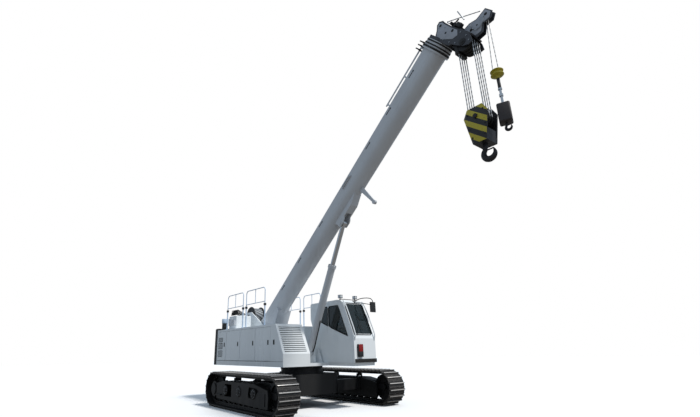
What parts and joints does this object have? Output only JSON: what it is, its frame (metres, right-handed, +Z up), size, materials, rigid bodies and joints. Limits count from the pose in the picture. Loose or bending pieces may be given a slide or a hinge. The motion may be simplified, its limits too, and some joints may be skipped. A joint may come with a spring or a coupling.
{
  "type": "telescopic crawler crane",
  "caption": "Crawler crane with a slewing upper, operator's cab, telescopic luffing boom, derricking cylinder and two hook blocks.",
  "frame": {"origin": "where the slewing axis meets the ground", "axes": "+X forward under the boom, +Y to the operator's left, +Z up"},
  "size_m": [13.8436, 5.25, 11.1152],
  "materials": {
    "white_paint": "gloss",
    "black_paint": "satin",
    "track_steel": "worn",
    "dark_steel": "matte",
    "chrome": "polished",
    "steel": "satin",
    "rope": "matte",
    "glass": "gloss",
    "hook_yellow": "gloss",
    "black_plastic": "matte",
    "seat_fabric": "matte"
  },
  "bodies": {
    "undercarriage": {"track_left": "track_steel", "track_right": "track_steel", "track_frame_left": "black_paint", "track_frame_right": "black_paint", "track_rollers": "black_paint", "idlers": "black_paint", "drive_sprockets": "black_paint", "car_body": "black_paint"},
    "upper": {"slew_race": "black_paint", "slew_platform": "white_paint", "counterweight": "black_paint", "housing_right": "white_paint", "housing_left": "white_paint", "louvre_panel": "white_paint", "engine_block": "black_paint", "exhaust": "black_plastic", "guard_rails": "white_paint", "rail_clamps": "black_plastic", "roof_equipment": "white_paint", "cab_shell": "white_paint", "cab_glass": "glass", "cab_seat": "seat_fabric", "cab_controls": "black_plastic", "lamps": "black_plastic", "mirror": "black_plastic", "boom_foot_pin": "steel", "cylinder_foot_pin": "steel"},
    "rear_door": {"door_rear": "white_paint"},
    "cooler_door": {"door_cooler": "white_paint"},
    "pump_door": {"door_pump": "white_paint"},
    "engine_door": {"door_engine": "white_paint"},
    "cab_entry_door": {"cab_door": "white_paint", "cab_door_glass": "glass"},
    "main_winch": {"winch_main": "steel"},
    "aux_winch": {"winch_aux": "steel"},
    "boom": {"boom_base": "white_paint"},
    "second_section": {"boom_second": "white_paint"},
    "third_section": {"boom_third": "white_paint"},
    "tip_section": {"boom_tip": "dark_steel", "head_sheaves": "dark_steel", "runner_sheave": "dark_steel"},
    "cylinder_rod": {"cylinder_rod": "chrome", "cylinder_piston": "steel"},
    "cylinder_barrel": {"cylinder_barrel": "white_paint"},
    "main_hook_block": {"main_falls": "rope", "main_block": "hook_yellow", "block_sheaves": "dark_steel"},
    "main_hook": {"main_hook": "dark_steel"},
    "aux_hook_line": {"aux_line": "rope", "aux_block": "dark_steel"},
    "aux_hook": {"aux_hook": "dark_steel"}
  },
  "joints": [
    {"name": "slew", "type": "hinge", "parent": "undercarriage", "child": "upper", "pos_m": [0, 0, 1.25], "axis": [0, 0, 1], "continuous": true},
    {"name": "boom_luff", "type": "hinge", "parent": "upper", "child": "boom", "pos_m": [-1.69883, 0, 2.65827], "axis": [0, -1, 0], "range_deg": [-37.85, 42.15]},
    {"name": "cylinder_swing", "type": "hinge", "parent": "boom", "child": "cylinder_rod", "pos_m": [2.69327, 0, 6.19791], "axis": [0, -1, 0], "range_deg": [-6.81, 7.59]},
    {"name": "cylinder_stroke", "type": "slide", "parent": "cylinder_rod", "child": "cylinder_barrel", "axis": [-0.4463, 0, -0.8949], "range_m": [-1.34604, 1.49896]},
    {"name": "telescope", "type": "slide", "parent": "boom", "child": "second_section", "axis": [0.7896, 0, 0.6136], "range_m": [0, 8.5]},
    {"name": "telescope_third", "type": "slide", "parent": "second_section", "child": "third_section", "axis": [0.7896, 0, 0.6136], "range_m": [0, 8.5]},
    {"name": "telescope_tip", "type": "slide", "parent": "third_section", "child": "tip_section", "axis": [0.7896, 0, 0.6136], "range_m": [0, 8.5]},
    {"name": "main_block_plumb", "type": "hinge", "parent": "tip_section", "child": "main_hook_block", "pos_m": [8.29, 0, 9.945], "axis": [0, -1, 0], "range_deg": [-42.15, 37.85]},
    {"name": "main_hook_swivel", "type": "hinge", "parent": "main_hook_block", "child": "main_hook", "pos_m": [8.29, 0, 6.9], "axis": [0, 0, 1], "continuous": true},
    {"name": "aux_hook_plumb", "type": "hinge", "parent": "tip_section", "child": "aux_hook_line", "pos_m": [8.8157, 0, 10.435], "axis": [0, -1, 0], "range_deg": [-34.56, 31.04]},
    {"name": "aux_hook_swivel", "type": "hinge", "parent": "aux_hook_line", "child": "aux_hook", "pos_m": [8.932, 0, 7.2], "axis": [0, 0, 1], "continuous": true},
    {"name": "main_winch_turn", "type": "hinge", "parent": "upper", "child": "main_winch", "pos_m": [-3.64, 0, 3.42], "axis": [0, 1, 0], "continuous": true},
    {"name": "aux_winch_turn", "type": "hinge", "parent": "upper", "child": "aux_winch", "pos_m": [-3.34, 0, 2.52], "axis": [0, 1, 0], "continuous": true},
    {"name": "cab_door_hinge", "type": "hinge", "parent": "upper", "child": "cab_entry_door", "pos_m": [0.439, 1.43, 2.5], "axis": [0, 0, 1], "range_deg": [0, 95]},
    {"name": "rear_door_hinge", "type": "hinge", "parent": "upper", "child": "rear_door", "pos_m": [-4.256, -1.488, 2.125], "axis": [0, 0, -1], "range_deg": [0, 90]},
    {"name": "cooler_door_hinge", "type": "hinge", "parent": "upper", "child": "cooler_door", "pos_m": [-3.386, -1.488, 2.125], "axis": [0, 0, -1], "range_deg": [0, 90]},
    {"name": "pump_door_hinge", "type": "hinge", "parent": "upper", "child": "pump_door", "pos_m": [-2.116, -1.488, 2.125], "axis": [0, 0, -1], "range_deg": [0, 90]},
    {"name": "engine_door_hinge", "type": "hinge", "parent": "upper", "child": "engine_door", "pos_m": [-0.856, -1.488, 2.125], "axis": [0, 0, -1], "range_deg": [0, 90]}
  ],
  "couplings": [
    {"joint": "cylinder_swing", "follows": "boom_luff", "ratio": 0.18},
    {"joint": "cylinder_stroke", "follows": "boom_luff", "m_per_rad": 2.0376},
    {"joint": "telescope_third", "follows": "telescope", "ratio": 1},
    {"joint": "telescope_tip", "follows": "telescope", "ratio": 1},
    {"joint": "main_block_plumb", "follows": "boom_luff", "ratio": -1},
    {"joint": "aux_hook_plumb", "follows": "boom_luff", "ratio": -0.82}
  ]
}
